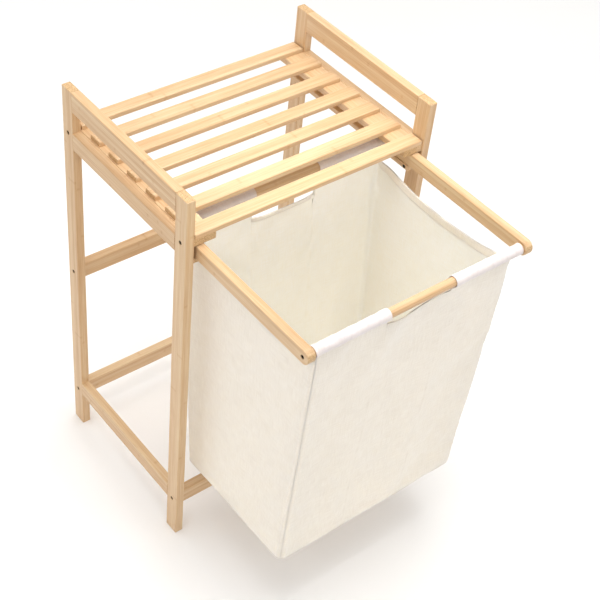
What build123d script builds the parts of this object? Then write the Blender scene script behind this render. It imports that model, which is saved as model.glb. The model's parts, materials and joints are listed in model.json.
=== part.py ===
from build123d import *
import os

os.makedirs("parts", exist_ok=True)

# A bamboo laundry rack: two side frames, a slatted shelf and one pull-out bag.
# Millimetres, +Z up. X runs across the rack, Y from the front to the back.
# The origin is on the floor, under the middle of the rack with its bag pulled out.

# Overall sizes
rack_width = 460
rack_depth = 330
rack_height = 730

# Side frames
stock = 15                 # thickness of posts and rails, across the rack
post_depth = 28
edge_round = 1.5           # sanded edges of all square stock
top_rail_height = 35
shelf_rail_height = 31
bottom_rail_height = 30
bottom_rail_base = 74      # underside of the bottom rails
joint_dowel_radius = 4
joint_dowel_depth = 10     # how far each glued dowel enters a post or a rail

# Shelf
shelf_drop = 66            # from the posts' tops down to the slats' upper faces
slat_count = 7
slat_width = 25
slat_thickness = 8
slat_inset = 2             # from the posts' front and back faces
slat_end_gap = 2           # between a slat's end and the side frame
slat_round = 2
batten_width = 38
batten_thickness = 12

# Crossbars between the side frames
bar_height = 30
bar_thickness = 15
low_bar_centre = 81
middle_bar_centre = 366

# Sliding arms and their guides
arm_thickness = 14
arm_height = 24
arm_gap = 5                # between an arm and the side frame
arm_tail = 16              # length of arm behind the rear dowel
arm_overlap = 85           # length of arm that stays in the rack, pulled out
arm_back_clearance = 5     # from the arms' rear ends to the posts' back faces, pushed in
arm_top_clearance = 2
arm_slide_clearance = 0.5
guide_margin = 1           # a guide is this much wider than the gap and the arm
guide_height = 9
guide_inset = 6

# Stops that keep the arms in the rack
stop_length = 12
stop_height = 14
stop_clearance = 0.4
stop_face_clearance = 0.6
stop_pin_radius = 3
stop_pin_clearance = 1     # between a pin's end and the side frame
stop_pin_depth = 8         # how far it is pressed into the arm
stop_pin_inset = 30        # from the arm's rear end, clear of the rear dowel's screw

# Dowels that carry the bag
dowel_radius = 7.5
front_dowel_proud = 1      # from the posts' front faces to the dowel's axis, pushed in

# Laundry bag
bag_side_gap = 11          # between a side panel and the arm
bag_bar_gap = 39           # between the bag's underside and the bottom crossbars
bag_front_taper = 22       # how much the front panel leans in from top to bottom
bag_rear_taper = 34
bag_cloth = 2.5
bag_corner = 12
bag_base_round = 8
bag_hem_offset = 2         # from a dowel's axis to the outer face of its panel
sleeve_wall = 1.7
sleeve_clearance = 0.3
sleeve_end_gap = 3         # between a sleeve's end and the arm
grip_width = 122           # bare wood between the two sleeves
front_finger_gap = 9       # clear height under the bare wood
rear_finger_gap = 42
side_edge_drop = 22        # from the dowels' axis to a side panel's top edge, at its ends
side_edge_sag = 18

# Screws
screw_head_radius = 3.3
screw_head_height = 4
screw_shank_radius = 2
screw_bite = 25            # length in the piece that a screw pulls up
screw_recess_radius = 3.6
head_recess = 1            # a head lies this far under the surface
socket_width = 3
socket_depth = 2
pilot_clearance = 0.1
small_head_radius = 3
small_head_height = 2
small_shank_radius = 1.5
slat_screw_length = 16
slat_screw_inset = 7       # from the batten's inner edge
slat_screw_gap = 6         # between a slat screw's axis and the batten's cross screws
guide_screw_bite = 9

# Places that follow from the sizes above
half_width = rack_width / 2
inner_face = half_width - stock
shelf_top = rack_height - shelf_drop
dowel_spacing = rack_depth + front_dowel_proud - arm_back_clearance - arm_tail
arm_reach = arm_height / 2 + dowel_spacing + arm_tail - arm_overlap
slide_travel = rack_depth - arm_back_clearance - arm_overlap
total_depth = rack_depth + arm_reach
front_face = arm_reach - total_depth / 2
back_face = front_face + rack_depth
front_post_centre = front_face + post_depth / 2
back_post_centre = back_face - post_depth / 2
rail_length = rack_depth - 2 * post_depth
slat_bottom = shelf_top - slat_thickness
batten_bottom = slat_bottom - batten_thickness
batten_centre = slat_bottom - batten_thickness / 2
slat_length = 2 * (inner_face - slat_end_gap)
slat_pitch = (rack_depth - 2 * slat_inset - slat_width) / (slat_count - 1)
arm_outer = inner_face - arm_gap
arm_inner = arm_outer - arm_thickness
arm_top = batten_bottom - arm_top_clearance
arm_bottom = arm_top - arm_height
arm_axis = arm_top - arm_height / 2
front_dowel_y = front_face - arm_reach + arm_height / 2
rear_dowel_y = front_dowel_y + dowel_spacing
arm_back = rear_dowel_y + arm_tail
guide_width = arm_gap + arm_thickness + guide_margin
guide_top = arm_bottom - arm_slide_clearance
guide_centre = guide_top - guide_height / 2
stop_pin_y = arm_back - stop_pin_inset
stop_pin_reach = arm_gap - stop_pin_clearance
side_centre = (front_face + back_face) / 2
recess_depth = head_recess + screw_head_height
batten_screw_bite = batten_width - slat_screw_inset - slat_screw_gap

sides = {"left": -1, "right": 1}


def save(name, part):
    part.label = name
    export_step(part, f"parts/{name}.step")


def x_plane(x, facing):
    """A sketch plane at x that faces along +X or -X, with sketch x along +Y or -Y."""
    return Plane(origin=(x, 0, 0), x_dir=(0, facing, 0), z_dir=(facing, 0, 0))


def y_plane(y):
    """A sketch plane at y that faces the front, with sketch x along +X."""
    return Plane(origin=(0, y, 0), x_dir=(1, 0, 0), z_dir=(0, -1, 0))


def cross_screw(start, y, z, inward, bite_start, bite=screw_bite):
    """A socket-head screw along X; its recess opens at x = start."""
    head_top = start + inward * head_recess
    head_bottom = head_top + inward * screw_head_height
    tip = bite_start + inward * bite
    with BuildPart() as screw:
        with BuildSketch(x_plane(head_top, inward)):
            with Locations((inward * y, z)):
                Circle(screw_head_radius)
        extrude(amount=screw_head_height)
        with BuildSketch(x_plane(head_bottom, inward)):
            with Locations((inward * y, z)):
                Circle(screw_shank_radius)
        extrude(amount=abs(tip - head_bottom))
        with BuildSketch(x_plane(head_top, inward)):
            with Locations((inward * y, z)):
                RegularPolygon(socket_width / 2, 6, major_radius=False)
        extrude(amount=socket_depth, mode=Mode.SUBTRACT)
    return screw.part


# Posts, with the recessed holes for the screws that come in from their outer faces
screw_heights = {
    "front": [low_bar_centre, batten_centre],
    "back": [low_bar_centre, middle_bar_centre, batten_centre],
}
post_centres = {"front": front_post_centre, "back": back_post_centre}
rail_centres = {
    "bottom_rail": bottom_rail_base + bottom_rail_height / 2,
    "shelf_rail": slat_bottom - shelf_rail_height / 2,
    "top_rail": rack_height - top_rail_height / 2,
}
rail_heights = {
    "bottom_rail": bottom_rail_height,
    "shelf_rail": shelf_rail_height,
    "top_rail": top_rail_height,
}

for side, s in sides.items():
    middle = s * (half_width - stock / 2)
    for end, y in post_centres.items():
        toward_rail = 1 if end == "front" else -1
        rail_face = y + toward_rail * post_depth / 2
        with BuildPart() as post:
            with BuildSketch():
                with Locations((middle, y)):
                    Rectangle(stock, post_depth)
            extrude(amount=rack_height)
            fillet(post.edges().filter_by(Axis.Z), edge_round)
            fillet(post.faces().sort_by(Axis.Z)[-1].edges(), edge_round)
            with BuildSketch(x_plane(s * half_width, -s)):
                with Locations(*[(-s * y, z) for z in screw_heights[end]]):
                    Circle(screw_recess_radius)
            extrude(amount=recess_depth, mode=Mode.SUBTRACT)
            with BuildSketch(x_plane(s * half_width, -s)):
                with Locations(*[(-s * y, z) for z in screw_heights[end]]):
                    Circle(screw_shank_radius + pilot_clearance)
            extrude(amount=stock, mode=Mode.SUBTRACT)
            with BuildSketch(y_plane(rail_face)):
                with Locations(*[(middle, z) for z in rail_centres.values()]):
                    Circle(joint_dowel_radius)
            extrude(amount=toward_rail * joint_dowel_depth, mode=Mode.SUBTRACT)
            with BuildSketch(x_plane(s * inner_face, s)):
                with Locations((s * y, guide_centre)):
                    Circle(small_shank_radius + pilot_clearance)
            extrude(amount=guide_screw_bite, mode=Mode.SUBTRACT)
        save(f"{side}_{end}_post", post.part)

# Rails of the side frames, between the posts
for side, s in sides.items():
    middle = s * (half_width - stock / 2)
    for name, centre in rail_centres.items():
        with BuildPart() as rail:
            with BuildSketch(y_plane(back_face - post_depth)):
                with Locations((middle, centre)):
                    RectangleRounded(stock, rail_heights[name], edge_round)
            extrude(amount=rail_length)
            with BuildSketch(y_plane(back_face - post_depth)):
                with Locations((middle, centre)):
                    Circle(joint_dowel_radius)
            extrude(amount=joint_dowel_depth, mode=Mode.SUBTRACT)
            with BuildSketch(y_plane(front_face + post_depth)):
                with Locations((middle, centre)):
                    Circle(joint_dowel_radius)
            extrude(amount=-joint_dowel_depth, mode=Mode.SUBTRACT)
        save(f"{side}_{name}", rail.part)

# Glued dowels, one at each end of each rail
with BuildPart() as frame_dowels:
    for y in (front_face + post_depth, back_face - post_depth):
        with BuildSketch(y_plane(y + joint_dowel_depth)):
            for s in sides.values():
                with Locations(*[(s * (half_width - stock / 2), z) for z in rail_centres.values()]):
                    Circle(joint_dowel_radius)
        extrude(amount=2 * joint_dowel_depth)
save("frame_dowels", frame_dowels.part)

# Crossbars: each end has a pilot hole for its screw
crossbars = {
    "front_bottom_crossbar": (front_post_centre, low_bar_centre),
    "back_bottom_crossbar": (back_post_centre, low_bar_centre),
    "back_middle_crossbar": (back_post_centre, middle_bar_centre),
}
for name, (y, z) in crossbars.items():
    with BuildPart() as crossbar:
        with BuildSketch(x_plane(-inner_face, 1)):
            with Locations((y, z)):
                RectangleRounded(bar_thickness, bar_height, edge_round)
        extrude(amount=2 * inner_face)
        for s in sides.values():
            with BuildSketch(x_plane(s * inner_face, -s)):
                with Locations((-s * y, z)):
                    Circle(screw_shank_radius + pilot_clearance)
            extrude(amount=screw_bite, mode=Mode.SUBTRACT)
    save(name, crossbar.part)

# Shelf slats, numbered from the front
first_slat_y = front_face + slat_inset + slat_width / 2
slat_centres = [first_slat_y + i * slat_pitch for i in range(slat_count)]
slat_screw_x = inner_face - batten_width + slat_screw_inset
for number, y in enumerate(slat_centres, start=1):
    with BuildPart() as slat:
        with BuildSketch(Plane.XY.offset(slat_bottom)):
            with Locations((0, y)):
                Rectangle(slat_length, slat_width)
        extrude(amount=slat_thickness)
        fillet(slat.faces().sort_by(Axis.Z)[-1].edges(), slat_round)
        with BuildSketch(Plane.XY.offset(slat_bottom)):
            with Locations((-slat_screw_x, y), (slat_screw_x, y)):
                Circle(small_shank_radius + pilot_clearance)
        extrude(amount=slat_screw_length - batten_thickness, mode=Mode.SUBTRACT)
    save(f"shelf_slat_{number}", slat.part)

# Battens under the slats, screwed to the posts
batten_length = rack_depth - 2 * slat_inset
for side, s in sides.items():
    with BuildPart() as batten:
        with BuildSketch(Plane.XY.offset(batten_bottom)):
            with Locations((s * (inner_face - batten_width / 2), side_centre)):
                Rectangle(batten_width, batten_length)
        extrude(amount=batten_thickness)
        fillet(batten.edges().filter_by(Axis.Y), edge_round)
        with BuildSketch(x_plane(s * inner_face, -s)):
            with Locations(*[(-s * y, batten_centre) for y in post_centres.values()]):
                Circle(screw_shank_radius + pilot_clearance)
        extrude(amount=batten_screw_bite, mode=Mode.SUBTRACT)
        with Locations(*[(s * slat_screw_x, y, batten_bottom) for y in slat_centres]):
            Cone(small_head_radius, small_shank_radius, small_head_height,
                 align=(Align.CENTER, Align.CENTER, Align.MIN), mode=Mode.SUBTRACT)
            Cylinder(small_shank_radius + pilot_clearance, batten_thickness,
                     align=(Align.CENTER, Align.CENTER, Align.MIN), mode=Mode.SUBTRACT)
    save(f"{side}_shelf_batten", batten.part)

# Guides that the arms slide on
for side, s in sides.items():
    with BuildPart() as guide:
        with BuildSketch(Plane.XY.offset(guide_top - guide_height)):
            with Locations((s * (inner_face - guide_width / 2), side_centre)):
                Rectangle(guide_width, rack_depth - 2 * guide_inset)
        extrude(amount=guide_height)
        fillet(guide.edges().filter_by(Axis.Y), edge_round)
        with BuildSketch(x_plane(s * (inner_face - guide_width), s)):
            with Locations(*[(s * y, guide_centre) for y in post_centres.values()]):
                Circle(small_head_radius)
        extrude(amount=small_head_height, mode=Mode.SUBTRACT)
        with BuildSketch(x_plane(s * (inner_face - guide_width), s)):
            with Locations(*[(s * y, guide_centre) for y in post_centres.values()]):
                Circle(small_shank_radius + pilot_clearance)
        extrude(amount=guide_width, mode=Mode.SUBTRACT)
    save(f"{side}_arm_guide", guide.part)

# Stop blocks on the inner faces of the side frames, one for each end of the travel
stop_gap = stop_pin_radius + stop_clearance
out_stop_y = stop_pin_y - stop_gap - stop_length / 2
in_stop_y = stop_pin_y + slide_travel + stop_gap + stop_length / 2
with BuildPart() as slide_stops:
    for s in sides.values():
        with BuildSketch(x_plane(s * inner_face, -s)):
            with Locations((-s * out_stop_y, arm_axis), (-s * in_stop_y, arm_axis)):
                Rectangle(stop_length, stop_height)
        extrude(amount=arm_gap - stop_face_clearance)
save("slide_stops", slide_stops.part)

# Arms: a bar with a round tip, two recessed screw holes and a hole for the stop pin
for side, s in sides.items():
    with BuildPart() as arm:
        with BuildSketch(x_plane(s * arm_outer, -s)):
            with BuildLine():
                tip = -s * front_dowel_y
                tail = -s * arm_back
                Line((tip, arm_bottom), (tail, arm_bottom))
                Line((tail, arm_bottom), (tail, arm_top))
                Line((tail, arm_top), (tip, arm_top))
                ThreePointArc((tip, arm_top), (tip + s * arm_height / 2, arm_axis), (tip, arm_bottom))
            make_face()
        extrude(amount=arm_thickness)
        fillet(arm.faces().filter_by(Axis.X).edges(), edge_round)
        with BuildSketch(x_plane(s * arm_outer, -s)):
            with Locations((-s * front_dowel_y, arm_axis), (-s * rear_dowel_y, arm_axis)):
                Circle(screw_recess_radius)
        extrude(amount=recess_depth, mode=Mode.SUBTRACT)
        with BuildSketch(x_plane(s * arm_outer, -s)):
            with Locations((-s * front_dowel_y, arm_axis), (-s * rear_dowel_y, arm_axis)):
                Circle(screw_shank_radius + pilot_clearance)
        extrude(amount=arm_thickness, mode=Mode.SUBTRACT)
        with BuildSketch(x_plane(s * arm_outer, -s)):
            with Locations((-s * stop_pin_y, arm_axis)):
                Circle(stop_pin_radius)
        extrude(amount=stop_pin_depth, mode=Mode.SUBTRACT)
    save(f"{side}_arm", arm.part)

with BuildPart() as stop_pins:
    for s in sides.values():
        with BuildSketch(x_plane(s * (arm_outer + stop_pin_reach), -s)):
            with Locations((-s * stop_pin_y, arm_axis)):
                Circle(stop_pin_radius)
        extrude(amount=stop_pin_reach + stop_pin_depth)
save("arm_stop_pins", stop_pins.part)

# Dowels that carry the bag, between the arms
dowel_places = {"front_dowel": front_dowel_y, "rear_dowel": rear_dowel_y}
for name, y in dowel_places.items():
    with BuildPart() as dowel:
        with BuildSketch(x_plane(-arm_inner, 1)):
            with Locations((y, arm_axis)):
                Circle(dowel_radius)
        extrude(amount=2 * arm_inner)
        for s in sides.values():
            with BuildSketch(x_plane(s * arm_inner, -s)):
                with Locations((-s * y, arm_axis)):
                    Circle(screw_shank_radius + pilot_clearance)
            extrude(amount=screw_bite, mode=Mode.SUBTRACT)
    save(name, dowel.part)

# Laundry bag: tapered walls and a base, hung on the dowels by two sleeves at each end
sleeve_end = arm_inner - sleeve_end_gap
sleeve_radius = dowel_radius + sleeve_clearance + sleeve_wall
grip_drops = {"front_dowel": dowel_radius + front_finger_gap, "rear_dowel": dowel_radius + rear_finger_gap}
bag_width = 2 * (arm_inner - bag_side_gap)
bag_bottom = low_bar_centre + bar_height / 2 + bag_bar_gap
panel_top = arm_axis - dowel_radius - sleeve_clearance
bag_middle = (front_dowel_y + rear_dowel_y) / 2
bag_top_depth = dowel_spacing + 2 * bag_hem_offset
bag_base_depth = bag_top_depth - bag_front_taper - bag_rear_taper
bag_base_middle = bag_middle + (bag_front_taper - bag_rear_taper) / 2
inner_corner = bag_corner - bag_cloth
inner_width = bag_width - 2 * bag_cloth
front_lean = bag_front_taper * bag_cloth / (panel_top - bag_bottom)
rear_lean = bag_rear_taper * bag_cloth / (panel_top - bag_bottom)
inner_base_depth = bag_base_depth - 2 * bag_cloth + front_lean + rear_lean
with BuildPart() as bag_hollow:
    with BuildSketch(Plane.XY.offset(bag_bottom + bag_cloth)):
        with Locations((0, bag_base_middle + (rear_lean - front_lean) / 2)):
            RectangleRounded(inner_width, inner_base_depth, inner_corner)
    with BuildSketch(Plane.XY.offset(panel_top)):
        with Locations((0, bag_middle)):
            RectangleRounded(inner_width, bag_top_depth - 2 * bag_cloth, inner_corner)
    loft()
    fillet(bag_hollow.faces().sort_by(Axis.Z)[0].edges(), bag_base_round - bag_cloth)

with BuildPart() as bag:
    with BuildSketch(Plane.XY.offset(bag_bottom)):
        with Locations((0, bag_base_middle)):
            RectangleRounded(bag_width, bag_base_depth, bag_corner)
    with BuildSketch(Plane.XY.offset(panel_top)):
        with Locations((0, bag_middle)):
            RectangleRounded(bag_width, bag_top_depth, bag_corner)
    loft()
    fillet(bag.faces().sort_by(Axis.Z)[0].edges(), bag_base_round)
    add(bag_hollow.part, mode=Mode.SUBTRACT)
    # The side panels' top edges sag between the dowels.
    edge_half = dowel_spacing / 2 - bag_corner
    edge_end = arm_axis - side_edge_drop
    with BuildSketch(x_plane(-half_width, 1)):
        with BuildLine():
            Line((bag_middle - edge_half, rack_height), (bag_middle - edge_half, edge_end))
            ThreePointArc((bag_middle - edge_half, edge_end), (bag_middle, edge_end - side_edge_sag),
                          (bag_middle + edge_half, edge_end))
            Line((bag_middle + edge_half, edge_end), (bag_middle + edge_half, rack_height))
            Line((bag_middle + edge_half, rack_height), (bag_middle - edge_half, rack_height))
        make_face()
    extrude(amount=rack_width, mode=Mode.SUBTRACT)
    # Sleeves around the dowels
    for y in dowel_places.values():
        with BuildSketch(x_plane(-sleeve_end, 1)):
            with Locations((y, arm_axis)):
                Circle(sleeve_radius)
        extrude(amount=2 * sleeve_end)
    for y in dowel_places.values():
        with BuildSketch(x_plane(-sleeve_end, 1)):
            with Locations((y, arm_axis)):
                Circle(dowel_radius + sleeve_clearance)
        extrude(amount=2 * sleeve_end, mode=Mode.SUBTRACT)
    # Finger gaps: the sleeves and the panels are cut away around the bare wood.
    for name, y in dowel_places.items():
        with BuildSketch(x_plane(-grip_width / 2, 1)):
            with Locations((y, arm_axis - grip_drops[name])):
                Rectangle(2 * bag_corner, grip_drops[name] + sleeve_radius, align=(Align.CENTER, Align.MIN))
        extrude(amount=grip_width, mode=Mode.SUBTRACT)
save("laundry_bag", bag.part)

# Screws through the posts into the crossbars and the shelf battens
screw_bites = {low_bar_centre: screw_bite, middle_bar_centre: screw_bite, batten_centre: batten_screw_bite}
frame_screws = [
    cross_screw(s * half_width, post_centres[end], z, -s, s * inner_face, screw_bites[z])
    for s in sides.values()
    for end, heights in screw_heights.items()
    for z in heights
]
save("frame_screws", Compound(children=frame_screws))

# Screws through the arms into the dowels
arm_screws = [
    cross_screw(s * arm_outer, y, arm_axis, -s, s * arm_inner)
    for s in sides.values()
    for y in dowel_places.values()
]
save("arm_screws", Compound(children=arm_screws))

# Countersunk screws from under the battens into the slats
with BuildPart() as slat_screws:
    with Locations(*[(s * slat_screw_x, y, batten_bottom) for s in sides.values() for y in slat_centres]):
        Cone(small_head_radius, small_shank_radius, small_head_height,
             align=(Align.CENTER, Align.CENTER, Align.MIN))
        Cylinder(small_shank_radius, slat_screw_length, align=(Align.CENTER, Align.CENTER, Align.MIN))
save("slat_screws", slat_screws.part)

# Screws through the guides into the posts
with BuildPart() as guide_screws:
    for s in sides.values():
        guide_points = [(s * y, guide_centre) for y in post_centres.values()]
        with BuildSketch(x_plane(s * (inner_face - guide_width), s)):
            with Locations(*guide_points):
                Circle(small_head_radius)
        extrude(amount=small_head_height)
        with BuildSketch(x_plane(s * (inner_face - guide_width), s)):
            with Locations(*guide_points):
                Circle(small_shank_radius)
        extrude(amount=guide_width + guide_screw_bite)
save("guide_screws", guide_screws.part)
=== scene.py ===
# %% [markdown]
# # A pull-out laundry rack in bamboo and cotton
#
# The real object is a small bamboo rack with a slatted shelf. Under the shelf one fabric bag hangs from
# two dowels, and the dowels sit between two arms that slide out of the rack. The hard parts come from the
# CAD model, which keeps every size true. This lesson adds what CAD can't give: the camera and light, the
# grain of the bamboo, the dark steel of the screws, and a bag that really hangs and creases.

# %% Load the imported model
import bpy
import json
import math
import numpy as np
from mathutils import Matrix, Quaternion, Vector


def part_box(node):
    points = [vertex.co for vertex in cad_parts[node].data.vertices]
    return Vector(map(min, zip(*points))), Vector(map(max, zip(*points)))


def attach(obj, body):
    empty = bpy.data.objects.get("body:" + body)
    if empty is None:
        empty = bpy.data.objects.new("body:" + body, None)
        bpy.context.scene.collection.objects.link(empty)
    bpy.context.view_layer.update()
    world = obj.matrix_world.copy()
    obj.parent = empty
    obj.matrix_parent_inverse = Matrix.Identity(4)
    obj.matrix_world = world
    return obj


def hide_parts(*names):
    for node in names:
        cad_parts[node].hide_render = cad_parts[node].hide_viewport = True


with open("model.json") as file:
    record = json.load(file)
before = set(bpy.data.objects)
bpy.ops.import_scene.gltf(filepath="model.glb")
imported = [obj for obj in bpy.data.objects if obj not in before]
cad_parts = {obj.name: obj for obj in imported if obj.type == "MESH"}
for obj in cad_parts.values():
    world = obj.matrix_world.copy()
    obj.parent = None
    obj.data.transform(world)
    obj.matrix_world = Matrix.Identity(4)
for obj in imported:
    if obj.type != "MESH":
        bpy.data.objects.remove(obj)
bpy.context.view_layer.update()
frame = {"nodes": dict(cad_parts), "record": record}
bpy.ops.object.select_all(action="DESELECT")

# %% [markdown]
# ## Camera
#
# A product camera looks down on the rack from its front left corner. It could be placed by typing a
# location and three angles, but an aim point, an azimuth and an elevation are easier to reason about, so
# the location is worked out from those. A long lens keeps the posts nearly parallel.

# %% Place the camera
MM = 0.001
aim_point = Vector((0.031, 0.000, 0.388))
azimuth = math.radians(-42.6)
elevation = math.radians(42.9)
roll = math.radians(6.8)
toward_camera = Vector((
    math.sin(azimuth) * math.cos(elevation),
    -math.cos(azimuth) * math.cos(elevation),
    math.sin(elevation),
))
bpy.ops.object.camera_add(location=aim_point + toward_camera * 2.162)
camera = bpy.context.object
camera.name = "camera"
camera.data.sensor_width = 36
camera.data.lens = 79.2
camera.rotation_mode = "QUATERNION"
camera.rotation_quaternion = (-toward_camera).to_track_quat("-Z", "Y") @ Quaternion((0, 0, 1), roll)
bpy.context.scene.camera = camera
print("Camera at", [round(v, 3) for v in camera.location])

# %% [markdown]
# ## Colour and node helpers
#
# Colours are easiest to choose as the hex values that a screen shows, but a shader works in linear light,
# so one function converts them. A second small function adds a node and makes its settings and links in
# the same line, which keeps each material readable as a recipe.

# %% Colour and node helpers
def linear(hex_colour):
    """A screen colour such as "#E5C08C" as the linear RGBA that a shader socket takes."""
    parts = [int(hex_colour[i:i + 2], 16) / 255 for i in (1, 3, 5)]
    return (*[p / 12.92 if p <= 0.04045 else ((p + 0.055) / 1.055) ** 2.4 for p in parts], 1.0)


def add_node(tree, kind, settings=None, values=None, links=None):
    """A new node: settings are its own options, values fill its sockets, links join sockets to outputs.

    A link that gives a whole node stands for that node's first output.
    """
    node = tree.nodes.new(kind)
    for key, value in (settings or {}).items():
        setattr(node, key, value)
    for key, value in (values or {}).items():
        node.inputs[key].default_value = value
    for key, source in (links or {}).items():
        tree.links.new(getattr(source, "outputs", [source])[0], node.inputs[key])
    return node


def new_material(name):
    """An empty node material with its surface shader, ready for a recipe."""
    material = bpy.data.materials.new(name)
    material.use_nodes = True
    return material, material.node_tree, material.node_tree.nodes["Principled BSDF"]


def paint_ramp(ramp_node, stops):
    """Fills a colour ramp from a list of (place, hex colour)."""
    ramp = ramp_node.color_ramp
    while len(ramp.elements) > 2:
        ramp.elements.remove(ramp.elements[-1])
    for i, (place, colour) in enumerate(stops):
        element = ramp.elements[i] if i < 2 else ramp.elements.new(place)
        element.position = place
        element.color = linear(colour)


# %% [markdown]
# ## Floor and light
#
# The rack stands on a plain pale floor. Pale wood and cloth look best in large soft lights, so that nothing
# throws a hard shadow: one big panel from the upper left as the key, a weaker one from the right and one
# overhead, with an almost white surround. A small narrow panel shines straight down into the bag, which
# would otherwise go grey inside. The standard view transform keeps the pale colours clean.

# %% Floor
bpy.ops.mesh.primitive_plane_add(size=12, location=(0, 0, -0.0004))
floor = bpy.context.object
floor.name = "floor"
floor_paint, tree, shader = new_material("matt white painted floor")
speckle = add_node(tree, "ShaderNodeTexNoise", values={"Scale": 9.0, "Detail": 3.0})
tint = add_node(tree, "ShaderNodeValToRGB", links={"Fac": speckle.outputs["Fac"]})
paint_ramp(tint, [(0.3, "#FAF9F7"), (0.7, "#FFFFFF")])
tree.links.new(tint.outputs["Color"], shader.inputs["Base Color"])
shader.inputs["Roughness"].default_value = 0.85
floor.data.materials.append(floor_paint)

# %% Lights
def soft_panel(name, place, power, size):
    """A square area light that faces the middle of the rack."""
    bpy.ops.object.light_add(type="AREA", location=place)
    light = bpy.context.object
    light.name = name
    light.data.energy = power
    light.data.size = size
    light.rotation_mode = "QUATERNION"
    light.rotation_quaternion = (aim_point - Vector(place)).to_track_quat("-Z", "Y")
    return light


key_light = soft_panel("key_light", (-2.6, -0.6, 2.2), 8, 2.0)
side_light = soft_panel("side_light", (1.9, -2.3, 1.7), 4, 2.0)
top_light = soft_panel("top_light", (0.1, 0.1, 2.8), 45, 2.0)
mouth_light = soft_panel("mouth_light", (0.02, -0.24, 1.6), 0.42, 0.3)
mouth_light.data.spread = math.radians(48)
world = bpy.data.worlds.new("white surround")
world.use_nodes = True
world.node_tree.nodes["Background"].inputs["Color"].default_value = linear("#FFFEFC")
world.node_tree.nodes["Background"].inputs["Strength"].default_value = 0.72
bpy.context.scene.world = world
bpy.context.scene.view_settings.view_transform = "Standard"
print("Lights:", key_light.name, side_light.name, top_light.name, mouth_light.name)

# %% [markdown]
# ## Laminated bamboo
#
# Rack parts like these are cut from boards glued up from bamboo strips about 19 mm wide and 6 mm thick,
# sanded and given a thin satin lacquer. Three things make it read as bamboo and not as pine: each strip
# has its own tone, the fibres run dead straight, and every strip is crossed now and then by the narrow
# darker band of a culm node. The pattern is built along one axis, so that every piece can have its grain
# along its own length, and the numbers are real sizes. True fibres are about 0.3 mm across, too fine to
# show, so they are drawn at about 1.4 mm.

# %% The bamboo's sizes
STRIP_WIDTH = 19 * MM
STRIP_THICKNESS = 6 * MM
NODE_SPACING = 340 * MM
NODE_BAND = 0.012                            # half of a culm node's width, as a share of the spacing
NODE_STAGGER = 600 * MM                      # how far the nodes of two strips can stand apart
NODE_WAVE = 3 * MM
FIBRE_WIDTH = 1.4 * MM
FIBRE_LENGTH = 60 * MM
STREAK_WIDTH = 7 * MM
STREAK_LENGTH = 400 * MM
BUNDLES_PER_METRE = 900
BOARD_STEP = (370 * MM, 11.3 * MM, 4.1 * MM)  # from one piece's cut of the board to the next one's
LAYER_NUMBER_STEP = 17                       # keeps strips in different layers from sharing a number
along_first = {"X": ("X", "Y", "Z"), "Y": ("Y", "X", "Z"), "Z": ("Z", "Y", "X")}
print("Strips of", round(STRIP_WIDTH / MM), "by", round(STRIP_THICKNESS / MM), "mm")

# %% How much each part of the pattern lightens the wood
BASE_TONE = 0.05
FIBRE_TONE = 0.56
STREAK_TONE = 0.42
STRIP_TONE = 0.16
NODE_TONE = -0.11
wood_tones = [(0.24, "#A0754C"), (0.42, "#C79D70"), (0.60, "#D6B287"), (0.86, "#E4CAA3")]
# Cut-end colours: the real dots of the fibre bundles, darker overall as painted shade of the end faces
end_grain_and_shade_tones = [(0.10, "#7F5A36"), (0.40, "#C79F6E"), (0.9, "#E0C194")]
print("Wood from", wood_tones[0][1], "to", wood_tones[-1][1])


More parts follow.
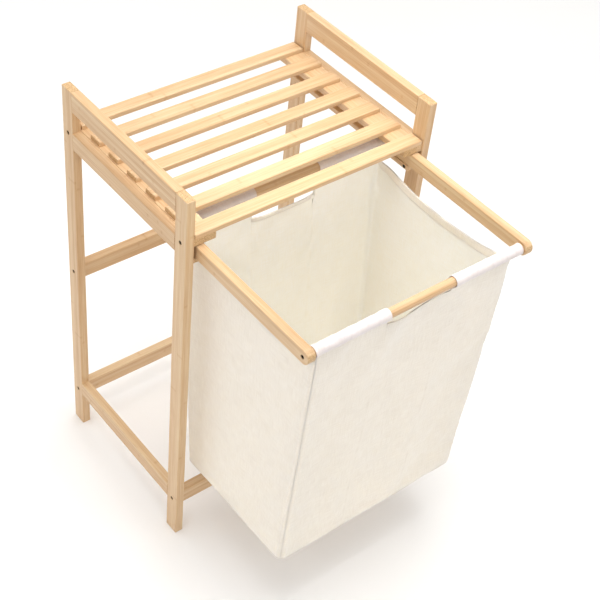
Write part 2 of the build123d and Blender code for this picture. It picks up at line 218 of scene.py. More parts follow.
# %% The bamboo recipe
def laminated_bamboo(name, along, seed, tone=0.0):
    """Laminated bamboo with its grain along one axis; the seed moves the pattern, the tone lightens it."""
    material, tree, shader = new_material(name)
    place = add_node(tree, "ShaderNodeTexCoord")
    axes = add_node(tree, "ShaderNodeSeparateXYZ", links={"Vector": place.outputs["Object"]})
    length, across, depth = [
        add_node(tree, "ShaderNodeMath", {"operation": "ADD"}, {1: step * seed}, {0: axes.outputs[axis]})
        for axis, step in zip(along_first[along], BOARD_STEP)]

    # Which strip this point is in, and that strip's own tone
    columns = add_node(tree, "ShaderNodeMath", {"operation": "DIVIDE"}, {1: STRIP_WIDTH}, {0: across})
    layers = add_node(tree, "ShaderNodeMath", {"operation": "DIVIDE"}, {1: STRIP_THICKNESS}, {0: depth})
    column = add_node(tree, "ShaderNodeMath", {"operation": "FLOOR"}, links={0: columns})
    layer = add_node(tree, "ShaderNodeMath", {"operation": "FLOOR"}, links={0: layers})
    strip = add_node(tree, "ShaderNodeMath", {"operation": "MULTIPLY_ADD"},
                     {1: LAYER_NUMBER_STEP}, {0: layer, 2: column})
    strip_tone = add_node(tree, "ShaderNodeTexWhiteNoise", {"noise_dimensions": "1D"}, links={"W": strip})

    # Straight fibres, and broader streaks behind them
    patterns = []
    for long_size, wide_size, detail, roughness in (
            (FIBRE_LENGTH, FIBRE_WIDTH, 2.0, 0.6), (STREAK_LENGTH, STREAK_WIDTH, 1.0, 0.5)):
        u, v, w = [
            add_node(tree, "ShaderNodeMath", {"operation": "DIVIDE"}, {1: size}, {0: distance})
            for distance, size in ((length, long_size), (across, wide_size), (depth, wide_size))]
        spot = add_node(tree, "ShaderNodeCombineXYZ", links={"X": u, "Y": v, "Z": w})
        patterns.append(add_node(
            tree, "ShaderNodeTexNoise", values={"Scale": 1.0, "Detail": detail, "Roughness": roughness},
            links={"Vector": spot}))
    fibres, streaks = [pattern.outputs["Fac"] for pattern in patterns]

    # The culm node: a narrow band that crosses a strip, at a different height in each
    shifted = add_node(tree, "ShaderNodeMath", {"operation": "MULTIPLY_ADD"},
                       {1: NODE_STAGGER}, {0: strip_tone.outputs["Value"], 2: length})
    waved = add_node(tree, "ShaderNodeMath", {"operation": "MULTIPLY_ADD"},
                     {1: NODE_WAVE}, {0: fibres, 2: shifted})
    turns = add_node(tree, "ShaderNodeMath", {"operation": "DIVIDE"}, {1: NODE_SPACING}, {0: waved})
    turn = add_node(tree, "ShaderNodeMath", {"operation": "FRACT"}, links={0: turns})
    centred = add_node(tree, "ShaderNodeMath", {"operation": "SUBTRACT"}, {1: 0.5}, {0: turn})
    from_node = add_node(tree, "ShaderNodeMath", {"operation": "ABSOLUTE"}, links={0: centred})
    node_band = add_node(tree, "ShaderNodeMapRange", {"interpolation_type": "SMOOTHSTEP"},
                         {"From Min": 0.0, "From Max": NODE_BAND, "To Min": 1.0, "To Max": 0.0},
                         {"Value": from_node})

    # The four parts added up, then looked up in the colours of the wood
    level = add_node(tree, "ShaderNodeMath", {"operation": "MULTIPLY_ADD"},
                     {1: FIBRE_TONE, 2: BASE_TONE + tone}, {0: fibres})
    for part, weight in ((streaks, STREAK_TONE), (strip_tone.outputs["Value"], STRIP_TONE),
                         (node_band.outputs["Result"], NODE_TONE)):
        level = add_node(tree, "ShaderNodeMath", {"operation": "MULTIPLY_ADD"},
                         {1: weight}, {0: part, 2: level})
    colour = add_node(tree, "ShaderNodeValToRGB", links={"Fac": level})
    paint_ramp(colour, wood_tones)

    # Cut ends show the dark dots of the fibre bundles, on a colour kept darker than the wood as painted shade
    # of the end faces
    facing = add_node(tree, "ShaderNodeSeparateXYZ", links={"Vector": place.outputs["Normal"]})
    end_on = add_node(tree, "ShaderNodeMath", {"operation": "ABSOLUTE"}, links={0: facing.outputs[along]})
    end_face = add_node(tree, "ShaderNodeMath", {"operation": "GREATER_THAN"}, {1: 0.8}, {0: end_on})
    bundles = add_node(tree, "ShaderNodeTexVoronoi", values={"Scale": BUNDLES_PER_METRE},
                       links={"Vector": place.outputs["Object"]})
    end_grain_and_shade_colour = add_node(tree, "ShaderNodeValToRGB", links={"Fac": bundles.outputs["Distance"]})
    paint_ramp(end_grain_and_shade_colour, end_grain_and_shade_tones)
    surface = add_node(tree, "ShaderNodeMix", {"data_type": "RGBA"}, links={
        "Factor": end_face, "A": colour.outputs["Color"], "B": end_grain_and_shade_colour.outputs["Color"]})
    tree.links.new(surface.outputs["Result"], shader.inputs["Base Color"])

    # A satin lacquer that the fibres break up, over a relief finer than a hair
    satin = add_node(tree, "ShaderNodeMath", {"operation": "MULTIPLY_ADD"}, {1: 0.16, 2: 0.36}, {0: fibres})
    tree.links.new(satin.outputs[0], shader.inputs["Roughness"])
    relief = add_node(tree, "ShaderNodeMath", {"operation": "MULTIPLY_ADD"},
                      {1: 0.5}, {0: node_band.outputs["Result"], 2: fibres})
    bump = add_node(tree, "ShaderNodeBump", values={"Strength": 0.35, "Distance": 0.12 * MM},
                    links={"Height": relief})
    tree.links.new(bump.outputs["Normal"], shader.inputs["Normal"])
    shader.inputs["IOR"].default_value = 1.5
    shader.inputs["Coat Weight"].default_value = 0.2
    shader.inputs["Coat Roughness"].default_value = 0.3
    return material


# %% Give every bamboo piece its own cut of the board
grain_of = {
    "post": "Z", "top_rail": "Y", "shelf_rail": "Y", "bottom_rail": "Y", "batten": "Y", "guide": "Y",
    "arm": "Y", "crossbar": "X", "slat": "X", "front_dowel": "X", "rear_dowel": "X",
}
bamboo_slots = {"bamboo_frame", "bamboo_slat", "bamboo_dowel"}
slot_of = {part["node"]: part["material_slot"] for part in frame["record"]["subparts"]}
bamboo_nodes = sorted(n for n, slot in slot_of.items() if slot in bamboo_slots)
for number, node in enumerate(bamboo_nodes):
    ending = max((k for k in grain_of if k in node), key=len)
    tone = {"bamboo_slat": 0.02, "bamboo_dowel": 0.0}.get(slot_of[node], 0.01)
    wood = laminated_bamboo(f"laminated bamboo {node}", grain_of[ending], number + 1, tone)
    mesh = frame["nodes"][node].data
    mesh.materials.clear()
    mesh.materials.append(wood)
print(len(bamboo_nodes), "bamboo pieces")

# %% [markdown]
# ## Beech pins and dark steel screws
#
# The hidden dowels, stops and pins are beech: pinker than bamboo, with short dark flecks. The screws are
# hardened steel with a black oxide finish. The oxide is a thin porous layer, so it is dark, a little brown
# and only half polished.

# %% Beech
beech, tree, shader = new_material("turned beech")
place = add_node(tree, "ShaderNodeTexCoord")
stretch = add_node(tree, "ShaderNodeMapping", values={"Scale": (900.0, 60.0, 900.0)},
                   links={"Vector": place.outputs["Object"]})
flecks = add_node(tree, "ShaderNodeTexNoise", values={"Scale": 1.0, "Detail": 2.0},
                  links={"Vector": stretch.outputs[0]})
colour = add_node(tree, "ShaderNodeValToRGB", links={"Fac": flecks.outputs["Fac"]})
paint_ramp(colour, [(0.35, "#B98A62"), (0.5, "#D9B08A"), (0.75, "#E6C3A0")])
tree.links.new(colour.outputs["Color"], shader.inputs["Base Color"])
shader.inputs["Roughness"].default_value = 0.55

# %% Black oxide steel
oxide_steel, tree, shader = new_material("black oxide steel")
place = add_node(tree, "ShaderNodeTexCoord")
cloud = add_node(tree, "ShaderNodeTexNoise", values={"Scale": 700.0, "Detail": 3.0},
                 links={"Vector": place.outputs["Object"]})
colour = add_node(tree, "ShaderNodeValToRGB", links={"Fac": cloud.outputs["Fac"]})
paint_ramp(colour, [(0.3, "#2C2826"), (0.7, "#4A423C")])
tree.links.new(colour.outputs["Color"], shader.inputs["Base Color"])
rough = add_node(tree, "ShaderNodeMath", {"operation": "MULTIPLY_ADD"},
                 {1: 0.25, 2: 0.3}, {0: cloud.outputs["Fac"]})
tree.links.new(rough.outputs[0], shader.inputs["Roughness"])
shader.inputs["Metallic"].default_value = 1.0

for node, slot in slot_of.items():
    finish = {"hardwood_pin": beech, "screw_steel": oxide_steel}.get(slot)
    if finish:
        frame["nodes"][node].data.materials.clear()
        frame["nodes"][node].data.materials.append(finish)
print("Pins and screws finished")

# %% [markdown]
# ## Cotton canvas
#
# The bag is sewn from a plain-weave cotton canvas, off-white outside, with a warmer cream coating inside
# that keeps its shape; the inside's colours are painted nearly white, as painted light for the inside of the
# bag. A thread is about 0.5 mm, too fine to show, so the weave is drawn at 1.6 mm. Real canvas is never even:
# thick yarns, or slubs, run along both directions, and the cloth is slightly mottled. The pattern reads a UV
# map measured in metres, so it follows the cloth through every fold.

# %% The canvas recipe
THREAD = 1.6 * MM
SLUB_LENGTH = 25 * MM
SLUB_WIDTH = 1000 / 700 * MM                 # seven across every 10 mm
BLOTCHES_PER_METRE = 22


def cotton_canvas(name, tones, sheen, scatter):
    """Plain-weave cotton in three tones, on a UV map in metres; scatter is how far light spreads in it."""
    material, tree, shader = new_material(name)
    cloth_place = add_node(tree, "ShaderNodeTexCoord").outputs["UV"]
    threads, slubs = [], []
    for direction, slub_size in (("X", (SLUB_LENGTH, SLUB_WIDTH)), ("Y", (SLUB_WIDTH, SLUB_LENGTH))):
        threads.append(add_node(tree, "ShaderNodeTexWave", {"bands_direction": direction},
                                {"Scale": math.pi / 10 / THREAD, "Distortion": 0.3}, {"Vector": cloth_place}))
        stretched = add_node(tree, "ShaderNodeMapping",
                             values={"Scale": (1 / slub_size[0], 1 / slub_size[1], 1.0)},
                             links={"Vector": cloth_place})
        slubs.append(add_node(tree, "ShaderNodeTexNoise", values={"Scale": 1.0, "Detail": 2.0},
                              links={"Vector": stretched}))
    weave, slub = [
        add_node(tree, "ShaderNodeMath", {"operation": "MULTIPLY"},
                 links={0: pair[0].outputs["Fac"], 1: pair[1].outputs["Fac"]})
        for pair in (threads, slubs)]
    mottle = add_node(tree, "ShaderNodeTexNoise",
                      values={"Scale": BLOTCHES_PER_METRE, "Detail": 4.0, "Roughness": 0.6},
                      links={"Vector": cloth_place})

    # Thick yarns, weave and blotches added up, then looked up in the three tones
    level = add_node(tree, "ShaderNodeMath", {"operation": "MULTIPLY"}, {1: 0.9}, {0: slub})
    for part, weight in ((weave, 0.22), (mottle.outputs["Fac"], 0.2)):
        level = add_node(tree, "ShaderNodeMath", {"operation": "MULTIPLY_ADD"},
                         {1: weight}, {0: part, 2: level})
    colour = add_node(tree, "ShaderNodeValToRGB", links={"Fac": level})
    paint_ramp(colour, list(zip((0.15, 0.38, 0.65), tones)))
    tree.links.new(colour.outputs["Color"], shader.inputs["Base Color"])
    relief = add_node(tree, "ShaderNodeMath", {"operation": "MULTIPLY_ADD"}, {1: 1.2}, {0: slub, 2: weave})
    bump = add_node(tree, "ShaderNodeBump", values={"Strength": 0.25, "Distance": 0.25 * MM},
                    links={"Height": relief})
    tree.links.new(bump.outputs["Normal"], shader.inputs["Normal"])
    shader.inputs["Roughness"].default_value = 0.88
    shader.inputs["Sheen Weight"].default_value = sheen
    shader.inputs["Sheen Roughness"].default_value = 0.5
    shader.inputs["Subsurface Weight"].default_value = 0.8
    shader.inputs["Subsurface Radius"].default_value = (1.0, 0.92, 0.78)
    shader.inputs["Subsurface Scale"].default_value = scatter
    return material


outer_canvas = cotton_canvas("off-white cotton canvas", ("#DED2C6", "#E9DFD4", "#F1E9E0"), 0.2, 9 * MM)
# The inside's tones are a warm cream, painted nearly white as painted light for the bag's inside
inner_canvas_painted_light = cotton_canvas("cream coated cotton canvas with painted inside light", ("#F8F0DC", "#FEF8E9", "#FFFCF2"), 0.1, 9 * MM)
sleeve_canvas = cotton_canvas("bleached cotton twill tape", ("#DDD2D0", "#E8DEDC", "#F1E9E7"), 0.1, 1 * MM)
print("Canvas:", outer_canvas.name, "/", inner_canvas_painted_light.name)

# %% [markdown]
# ## The bag's shell
#
# The bag is a tapered box of cloth with soft corners, sewn from panels and hung from two dowels. It could
# be drawn as flat plates, but cloth always hangs in a curve. So the shell is lofted: one ring of points is
# laid round the bag, and the ring is repeated from the base to the top edge, narrowing as the panels do.
# The ends reach up into the sleeves, with a cut-out at each grip, and the sides stop lower with a dip
# between the dowels. The base is a grid that closes the lowest ring.

# %% Sizes read from the frame
bag_low, bag_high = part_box("laundry_bag")
front_low, front_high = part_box("front_dowel")
rear_low, rear_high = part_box("rear_dowel")
front_y = (front_low.y + front_high.y) / 2
rear_y = (rear_low.y + rear_high.y) / 2
dowel_z = (front_low.z + front_high.z) / 2
middle_y = (front_y + rear_y) / 2
base_z = bag_low.z
print("Dowels at y", round(front_y, 4), round(rear_y, 4), "height", round(dowel_z, 4))

# %% Sizes of the sewn bag
CANVAS = 1.4 * MM                            # thickness of the cloth
side_x = 185 * MM                            # half the bag's width at its panels
panel_top = dowel_z - 7.8 * MM
front_grip_edge = dowel_z - 16.5 * MM        # top of the cloth under the bare wood
rear_grip_edge = dowel_z - 49.5 * MM
grip_half = 61 * MM
grip_gap = 0.3 * MM                          # how close the loft's points come to the cut-out's edge
side_corner_z = dowel_z - 22 * MM
side_dip = 18 * MM
corner = 12 * MM
base_round = 8 * MM
front_taper = 22 * MM                        # how much each end leans in from top to base
rear_taper = 34 * MM
half_depth_top = (rear_y - front_y) / 2 + 2 * MM
half_depth_base = half_depth_top - (front_taper + rear_taper) / 2
base_shift = (front_taper - rear_taper) / 2
print("Bag", round(2 * side_x, 3), "wide and", round(2 * half_depth_top, 3), "deep at its mouth")


# %% One ring of points round the bag
ACROSS_CELLS = 54                            # along the front, between the corners
SIDE_CELLS = 44
ARC = 4                                      # cells in half a corner


def corner_point(half_run, half_off, side_sign, degrees):
    """One point of a rounded corner, on the side that the ring is following."""
    angle = math.radians(degrees)
    return (side_sign * (half_run - corner) + corner * math.cos(angle),
            -(half_off - corner) + corner * math.sin(angle))


def ring_points(half_x, half_y):
    """The rounded rectangle, from the middle of the front left corner, anticlockwise from above."""
    points = []
    for turn in range(4):
        half_run, half_off, count = (
            (half_x, half_y, ACROSS_CELLS) if turn % 2 == 0 else (half_y, half_x, SIDE_CELLS))
        side = [corner_point(half_run, half_off, -1, 225 + 45 * k / ARC) for k in range(ARC)]
        side += [((half_run - corner) * (2 * k / count - 1), -half_off) for k in range(count + 1)]
        side += [corner_point(half_run, half_off, 1, 270 + 45 * k / ARC) for k in range(1, ARC)]
        spin = math.pi / 2 * turn
        points += [(u * math.cos(spin) - w * math.sin(spin), u * math.sin(spin) + w * math.cos(spin))
                   for u, w in side]
    return np.array(points)


def square_grips(ring):
    """Moves the points beside each grip so that the cut-out gets straight edges."""
    cell = 2 * (side_x - corner) / ACROSS_CELLS
    for k, (x, y) in enumerate(ring):
        from_grip = abs(x) - grip_half
        if abs(y) < ring[:, 1].max() - 1e-6 or abs(from_grip) > cell:
            continue
        ring[k, 0] = math.copysign(grip_half + (grip_gap if from_grip > 0 else -grip_gap), x)
    return ring


even_ring = ring_points(side_x, half_depth_top)
top_ring = square_grips(even_ring.copy())
base_ring = ring_points(side_x, half_depth_base)
ring_size = len(top_ring)
print("Points in a ring:", ring_size)


# %% The height of the top edge, all round
def top_edge(x, y):
    """Height of the cloth's top edge above one point of the ring; y is measured from the bag's middle."""
    if abs(y) > half_depth_top - corner * 0.3:
        grip_edge = front_grip_edge if y < 0 else rear_grip_edge
        return grip_edge if abs(x) < grip_half else panel_top
    reach = half_depth_top - corner
    dip = side_corner_z - side_dip * max(0.0, 1 - (y / reach) ** 2)
    if abs(y) > reach:
        rise = (abs(y) - reach) / (corner * 0.7)
        return side_corner_z + (panel_top - side_corner_z) * min(1.0, rise) ** 2
    return dip


top_z = np.array([top_edge(x, y) for x, y in top_ring])
print("Top edge from", round(top_z.min(), 4), "to", round(top_z.max(), 4))

# %% The soft folds of hung cloth
# Each fold has a place, as a share of half the wall, and then its width and its depth
side_folds = [(0.60, 30 * MM, 6.0 * MM), (-0.30, 45 * MM, 2.5 * MM), (-0.78, 22 * MM, 1.5 * MM)]
end_folds = [(0.62, 38 * MM, 3.0 * MM), (-0.15, 60 * MM, 2.0 * MM), (-0.70, 34 * MM, 2.5 * MM)]


def fold_depth(place, half, folds, share):
    """How far a wall leans in at one place, most at mid height and nothing at the base and the top."""
    lean_in = sum(deep * np.exp(-((place - at * half) / wide) ** 2) for at, wide, deep in folds)
    return lean_in * math.sin(math.pi * share ** 0.8)


print("Folds on each side:", len(side_folds), "on each end:", len(end_folds))

# %% Loft the walls
WALL_ROWS = 62
BASE_ROWS = 3
SQUARE_ABOVE = 60 * MM                       # the cut-outs are squared down to here below the dowels
EVEN_BELOW = 130 * MM                        # and from here down the points are evenly spaced again
rows = []
for k in range(BASE_ROWS):
    angle = math.radians(90 * k / BASE_ROWS)
    pull_in = base_round * (1 - math.sin(angle))
    ring = base_ring * (1 - pull_in / np.array([side_x, half_depth_base])) + np.array([0, base_shift])
    rows.append(np.column_stack([ring, np.full(ring_size, base_z + base_round * (1 - math.cos(angle)))]))
for k in range(WALL_ROWS + 1):
    share = k / WALL_ROWS
    height = base_z + base_round + share * (top_z - base_z - base_round)
    lean = ((height - base_z) / (panel_top - base_z))[:, None]
    shift = np.column_stack([np.zeros(ring_size), base_shift * (1 - lean[:, 0])])
    near_top = np.clip((height - dowel_z + EVEN_BELOW) / (EVEN_BELOW - SQUARE_ABOVE), 0, 1)[:, None]
    ring = base_ring + (even_ring - base_ring) * lean + (top_ring - even_ring) * near_top
    on_side = np.abs(even_ring[:, 0]) > side_x - 1e-6
    on_end = np.abs(even_ring[:, 1]) > half_depth_top - 1e-6
    side_lean = fold_depth(ring[:, 1], half_depth_top, side_folds, share)
    ring[:, 0] -= on_side * np.sign(even_ring[:, 0]) * side_lean
    end_lean = fold_depth(ring[:, 0], side_x, end_folds, share)
    ring[:, 1] -= on_end * np.sign(even_ring[:, 1]) * end_lean
    rows.append(np.column_stack([ring + shift, height]))
wall_points = np.array(rows)
print("Wall rows:", len(rows))

# %% A grid of points for the base
# Its four edges are the lowest ring, cut at the middles of the corners
nx, ny = ACROSS_CELLS + 2 * ARC, SIDE_CELLS + 2 * ARC
closed_rim = np.append(wall_points[0], wall_points[0][:1], axis=0)
front_edge = closed_rim[:nx + 1]
right_edge = closed_rim[nx:nx + ny + 1]
back_edge = closed_rim[nx + ny:2 * nx + ny + 1][::-1]
left_edge = closed_rim[2 * nx + ny:][::-1]
base_grid = np.zeros((ny + 1, nx + 1, 3))
for j in range(ny + 1):
    for i in range(nx + 1):
        s, t = i / nx, j / ny
        base_grid[j, i] = (
            (1 - t) * front_edge[i] + t * back_edge[i] + (1 - s) * left_edge[j] + s * right_edge[j]
            - (1 - s) * (1 - t) * front_edge[0] - s * (1 - t) * front_edge[nx]
            - (1 - s) * t * back_edge[0] - s * t * back_edge[nx]
        )
print("Base grid:", nx, "by", ny)

# %% Make the shell's mesh
vertices = [tuple(p) for row in wall_points for p in row]
faces = []
for r in range(len(rows) - 1):
    low, high = r * ring_size, (r + 1) * ring_size
    for k in range(ring_size):
        nxt = (k + 1) % ring_size
        faces.append((low + k, low + nxt, high + nxt, high + k))

# The grid's edge shares the ring's points, and only its inside is new
grid_index = {}
for i in range(nx + 1):
    grid_index[0, i] = i
    grid_index[ny, i] = 2 * nx + ny - i
for j in range(ny + 1):
    grid_index[j, nx] = nx + j
    grid_index[j, 0] = (2 * nx + 2 * ny - j) % ring_size
for j in range(1, ny):
    for i in range(1, nx):
        grid_index[j, i] = len(vertices)
        vertices.append(tuple(base_grid[j, i]))
for j in range(ny):
    for i in range(nx):
        faces.append((grid_index[j, i], grid_index[j + 1, i], grid_index[j + 1, i + 1], grid_index[j, i + 1]))
vertices = [(x, y + middle_y, z) for x, y, z in vertices]
shell_mesh = bpy.data.meshes.new("bag_shell")
shell_mesh.from_pydata(vertices, [], faces)
shell_mesh.update()
shell = bpy.data.objects.new("bag_shell", shell_mesh)
bpy.context.collection.objects.link(shell)
print("Shell:", len(vertices), "points,", len(faces), "faces")

# %% [markdown]
# ## Let the cloth hang
#
# Blender's cloth simulation works out how slack fabric falls. The cloth at the sleeves and in the flat base
# is pinned, everything else is free, and the cloth is made a fraction larger than its frame so that it has
# something to fold. Only small moves are kept, because the bag must stay clear of the arms.

# %% Pin the sleeves and the base
wall_top_start = (len(rows) - 1) * ring_size
pins = shell.vertex_groups.new(name="sewn")
flat_base = [i for i, v in enumerate(vertices) if v[2] < base_z + 4 * MM]
sewn_edge = [
    wall_top_start + k for k in range(ring_size)
    if abs(top_ring[k][1]) > half_depth_top - corner and abs(top_ring[k][0]) > grip_half
]
pins.add(flat_base, 1.0, "REPLACE")
pins.add(sewn_edge, 1.0, "REPLACE")
print("Pinned:", len(flat_base), "in the base,", len(sewn_edge), "at the sleeves")

# %% Simulate
MOST_MOVE = 12 * MM
HANG_FRAMES = 36
rest = np.array(vertices)
hung = rest.copy()
cloth = shell.modifiers.new("canvas", "CLOTH")
settings = cloth.settings
settings.quality = 7
settings.mass = 0.00002
settings.tension_stiffness = 60
settings.compression_stiffness = 60
settings.shear_stiffness = 20
settings.bending_stiffness = 0.6
settings.air_damping = 4
settings.vertex_group_mass = "sewn"
settings.shrink_min = -0.006
cloth.collision_settings.use_collision = False
cloth.point_cache.frame_start = 1
cloth.point_cache.frame_end = HANG_FRAMES + 4
for step in range(1, HANG_FRAMES + 1):
    bpy.context.scene.frame_set(step)
evaluated = shell.evaluated_get(bpy.context.evaluated_depsgraph_get())
hung = np.array([tuple(v.co) for v in evaluated.data.vertices])
shell.modifiers.remove(cloth)
bpy.context.scene.frame_set(1)
moved = hung - rest
distance = np.linalg.norm(moved, axis=1)
hung = rest + moved * np.minimum(1, MOST_MOVE / np.maximum(distance, 1e-9))[:, None]
for vertex, point in zip(shell_mesh.vertices, hung):
    vertex.co = point
shell_mesh.update()
print("Cloth moved up to", round(distance.max() / MM, 1), "mm, mean", round(distance.mean() / MM, 2), "mm")

# %% A UV map in metres, so that the weave follows the cloth
step_lengths = np.linalg.norm(np.roll(top_ring, -1, axis=0) - top_ring, axis=1)
ring_length = np.concatenate([[0], np.cumsum(step_lengths)])


def weave_place(face, corner_vertex):
    """Where one corner of one face lies on the flat cloth, in metres."""
    if corner_vertex >= len(rows) * ring_size or face.index >= (len(rows) - 1) * ring_size:
        return rest[corner_vertex][0], rest[corner_vertex][1]
    column = corner_vertex % ring_size
    if column == 0 and face.index % ring_size == ring_size - 1:
        column = ring_size
    return ring_length[column], rest[corner_vertex][2]


uv = shell_mesh.uv_layers.new(name="cloth")
for face in shell_mesh.polygons:
    for loop in face.loop_indices:
        uv.data[loop].uv = weave_place(face, shell_mesh.loops[loop].vertex_index)
shell_mesh.materials.append(outer_canvas)
shell_mesh.materials.append(inner_canvas_painted_light)
print("Weave placed on", len(shell_mesh.polygons), "faces")

# %% Give the cloth its thickness
def activate(piece):
    """Makes one piece the only selected one, ready for an operator."""
    bpy.ops.object.select_all(action="DESELECT")
    piece.select_set(True)
    bpy.context.view_layer.objects.active = piece


def thicken(piece, thickness, offset, inner_material=0):
    """Turns a sheet into cloth with two faces; offset -1 keeps the outer face where it is."""
    wall = piece.modifiers.new("thickness", "SOLIDIFY")
    wall.thickness = thickness
    wall.offset = offset
    wall.use_even_offset = True
    wall.material_offset = inner_material
    activate(piece)
    bpy.ops.object.modifier_apply(modifier=wall.name)
    bpy.ops.object.shade_smooth_by_angle(angle=math.radians(50))


def hem_copy(name, columns, row_count, stand_off, cloth_material):
    """A folded hem: the shell's top rows over some columns, copied and lifted off both faces."""
    points, hem_faces, flat = [], [], []
    for r in range(len(rows) - 1 - row_count, len(rows)):
        for k in columns:
            points.append(tuple(hung[r * ring_size + k]))
            flat.append((ring_length[k], rest[r * ring_size + k][2]))
    width = len(columns)
    for r in range(row_count):
        for k in range(width - 1):
            low, high = r * width + k, (r + 1) * width + k
            hem_faces.append((low, low + 1, high + 1, high))
    mesh = bpy.data.meshes.new(name)
    mesh.from_pydata(points, [], hem_faces)
    layer = mesh.uv_layers.new(name="cloth")
    for loop in mesh.loops:
        layer.data[loop.index].uv = flat[loop.vertex_index]
    hem = bpy.data.objects.new(name, mesh)
    bpy.context.collection.objects.link(hem)
    mesh.materials.append(cloth_material)
    doubled = CANVAS + 2 * stand_off
    thicken(hem, doubled, -1 + 2 * stand_off / doubled)
    round_over = hem.modifiers.new("soft_edge", "BEVEL")
    round_over.width = stand_off * 0.9
    round_over.segments = 2
    round_over.limit_method = "ANGLE"
    round_over.angle_limit = math.radians(50)
    activate(hem)
    bpy.ops.object.modifier_apply(modifier=round_over.name)
    bpy.ops.object.shade_smooth_by_angle(angle=math.radians(60))
    return hem


# %% [markdown]
# ## Hems
#
# Every raw edge of the cloth is turned over and stitched. That doubles the fabric for 8 to 15 mm and makes
# a small step, which is what the eye reads as sewing. Each hem is a copy of the shell's own top rows, so it
# follows the same folds, with a little more thickness.

# %% Sew the hems
hem_stand_off = 0.5 * MM
on_wall = side_x - corner
beside_corner = half_depth_top - 0.4 * corner
end_plane = half_depth_top - 1e-6
side_columns = {"right": [], "left": []}
grip_columns = {"front": [], "rear": []}
for k, (x, y) in enumerate(top_ring):
    if abs(x) > on_wall and abs(y) < beside_corner:
        side_columns["right" if x > 0 else "left"].append(k)
    if abs(y) > end_plane and abs(x) < grip_half:
        grip_columns["rear" if y > 0 else "front"].append(k)
hems = []
for side, columns in side_columns.items():
    hems.append(hem_copy(f"bag_{side}_hem", columns, 2, hem_stand_off, outer_canvas))
for end, columns in grip_columns.items():
    hems.append(hem_copy(f"bag_{end}_grip_hem", columns, 1, hem_stand_off, outer_canvas))
thicken(shell, CANVAS, -1, 1)
print("Hems:", [hem.name for hem in hems])

# %% [markdown]
# ## Sleeves
#
# The ends of the bag are folded over the dowels and sewn back down, which makes a sleeve on each side of
# the grip. Cloth round a rod isn't a perfect tube: it closes to a narrow neck below, it puckers a little
# where it is sewn, and its mouth has a doubled hem. One sleeve is a ring of points swept along the dowel
# with those puckers, and the same function makes all four.

# %% Sizes of the sleeves
SLEEVE_RADIUS = 9.2 * MM
SLEEVE_CLOTH = 0.8 * MM
NARROWEST = 8.45 * MM                        # keeps the cloth off the dowel
MOUTH_HEM = 12 * MM
sleeve_length = bag_high.x - grip_half
print("Each sleeve is", round(sleeve_length, 3), "long")


# %% How the sleeve's cloth swells and puckers
def sleeve_radius(share, angle, phase):
    """The sleeve's radius at one share of its length and one angle round the dowel."""
    from_mouth = share * sleeve_length
    in_hem = from_mouth < MOUTH_HEM
    pucker = 0.28 * MM * math.sin(38 * share + 2 * angle + phase[0]) * math.sin(11 * share + phase[1])
    pucker += 0.22 * MM * math.sin(85 * share - angle + phase[2]) * (0.3 + 0.7 * abs(math.sin(angle)))
    pucker += 0.18 * MM * math.sin(23 * share + 3 * angle + phase[3])
    hem_lift = 0.7 * MM if in_hem else 0.7 * MM * math.exp(-((from_mouth - MOUTH_HEM) / (1.2 * MM)))
    outer_lift = 0.5 * MM * math.exp(-((sleeve_length - from_mouth) / (5 * MM)))
    radius = SLEEVE_RADIUS - 0.35 * MM + pucker * (0.35 if in_hem else 1.0)
    return max(radius + hem_lift * 0.8 + outer_lift, NARROWEST)


# %% Make the sleeves
def sleeve(name, axis_y, sign, seed):
    """One sleeve from the grip to its outer end, on the side of X that sign gives."""
    stations, around = 72, 40
    phase = np.random.default_rng(seed).uniform(0, 2 * math.pi, 6)
    points, flat = [], []
    for i in range(stations + 1):
        share = i / stations
        for j in range(around):
            angle = 2 * math.pi * j / around
            neck = max(0.0, math.cos(angle + math.pi / 2)) ** 8
            radius = sleeve_radius(share, angle, phase)
            points.append((
                sign * (grip_half + share * sleeve_length),
                axis_y + radius * math.cos(angle) * (1 - 0.75 * neck),
                dowel_z + radius * math.sin(angle) - 4.8 * MM * neck,
            ))
            flat.append((share * sleeve_length, angle * SLEEVE_RADIUS))
    faces = []
    for i in range(stations):
        for j in range(around):
            nxt = (j + 1) % around
            quad = (i * around + j, i * around + nxt, (i + 1) * around + nxt, (i + 1) * around + j)
            faces.append(quad if sign > 0 else quad[::-1])
    mesh = bpy.data.meshes.new(name)
    mesh.from_pydata(points, [], faces)
    layer = mesh.uv_layers.new(name="cloth")
    for face in mesh.polygons:
        for loop in face.loop_indices:
            u, v = flat[mesh.loops[loop].vertex_index]
            if v == 0 and face.index % around == around - 1:
                v = 2 * math.pi * SLEEVE_RADIUS
            layer.data[loop].uv = (u, v)
    mesh.materials.append(sleeve_canvas)
    piece = bpy.data.objects.new(name, mesh)
    bpy.context.collection.objects.link(piece)
    thicken(piece, SLEEVE_CLOTH, -1)
    return piece


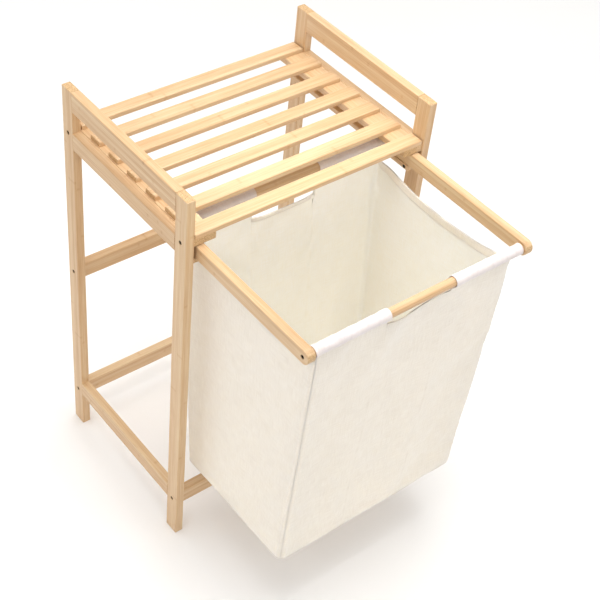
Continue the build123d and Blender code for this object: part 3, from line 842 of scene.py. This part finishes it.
sleeves = [
    sleeve("bag_front_left_sleeve", front_y, -1, 11),
    sleeve("bag_front_right_sleeve", front_y, 1, 12),
    sleeve("bag_rear_left_sleeve", rear_y, -1, 13),
    sleeve("bag_rear_right_sleeve", rear_y, 1, 14),
]
print("Sleeves:", [piece.name for piece in sleeves])

# %% [markdown]
# ## Seams
#
# The panels are joined at the four corners and round the base. A sewn seam stands up as a small soft ridge,
# because four layers of cloth meet in it. Each ridge follows the shell's own points, so it lies in the
# cloth wherever the cloth has moved.

# %% Draw the seams
def seam(name, path, radius, closed=False):
    """A soft ridge along a line of points on the cloth."""
    line = bpy.data.curves.new(name, "CURVE")
    line.dimensions = "3D"
    line.bevel_depth = radius
    line.bevel_resolution = 2
    line.use_fill_caps = not closed
    spline = line.splines.new("POLY")
    spline.points.add(len(path) - 1)
    for point, place in zip(spline.points, path):
        point.co = (*place, 1.0)
    spline.use_cyclic_u = closed
    piece = bpy.data.objects.new(name, line)
    bpy.context.collection.objects.link(piece)
    activate(piece)
    bpy.ops.object.convert(target="MESH")
    piece = bpy.context.object
    piece.data.materials.clear()
    piece.data.materials.append(outer_canvas)
    bpy.ops.object.shade_smooth()
    return piece


CORNER_SEAM = 0.6 * MM
BASE_SEAM = 1.1 * MM
corner_columns = {"front_left": 0, "front_right": nx, "rear_right": nx + ny, "rear_left": 2 * nx + ny}
seams = []
for where, column in corner_columns.items():
    path = hung[[r * ring_size + column for r in range(BASE_ROWS, len(rows) - 1)]]
    seams.append(seam(f"bag_{where}_seam", path, CORNER_SEAM))
base_path = hung[(BASE_ROWS - 1) * ring_size:BASE_ROWS * ring_size]
seams.append(seam("bag_base_seam", base_path, BASE_SEAM, closed=True))
print("Seams:", [piece.name for piece in seams])

# %% [markdown]
# ## Tie everything to the frame
#
# Every fabric piece slides with the bag, so each one rides on the body that carries the dowels. The shell
# stands for the plain CAD bag, which stays hidden.

# %% Ride and replace
for piece in [shell, *hems, *sleeves, *seams]:
    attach(piece, "bag_slide")
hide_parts("laundry_bag")
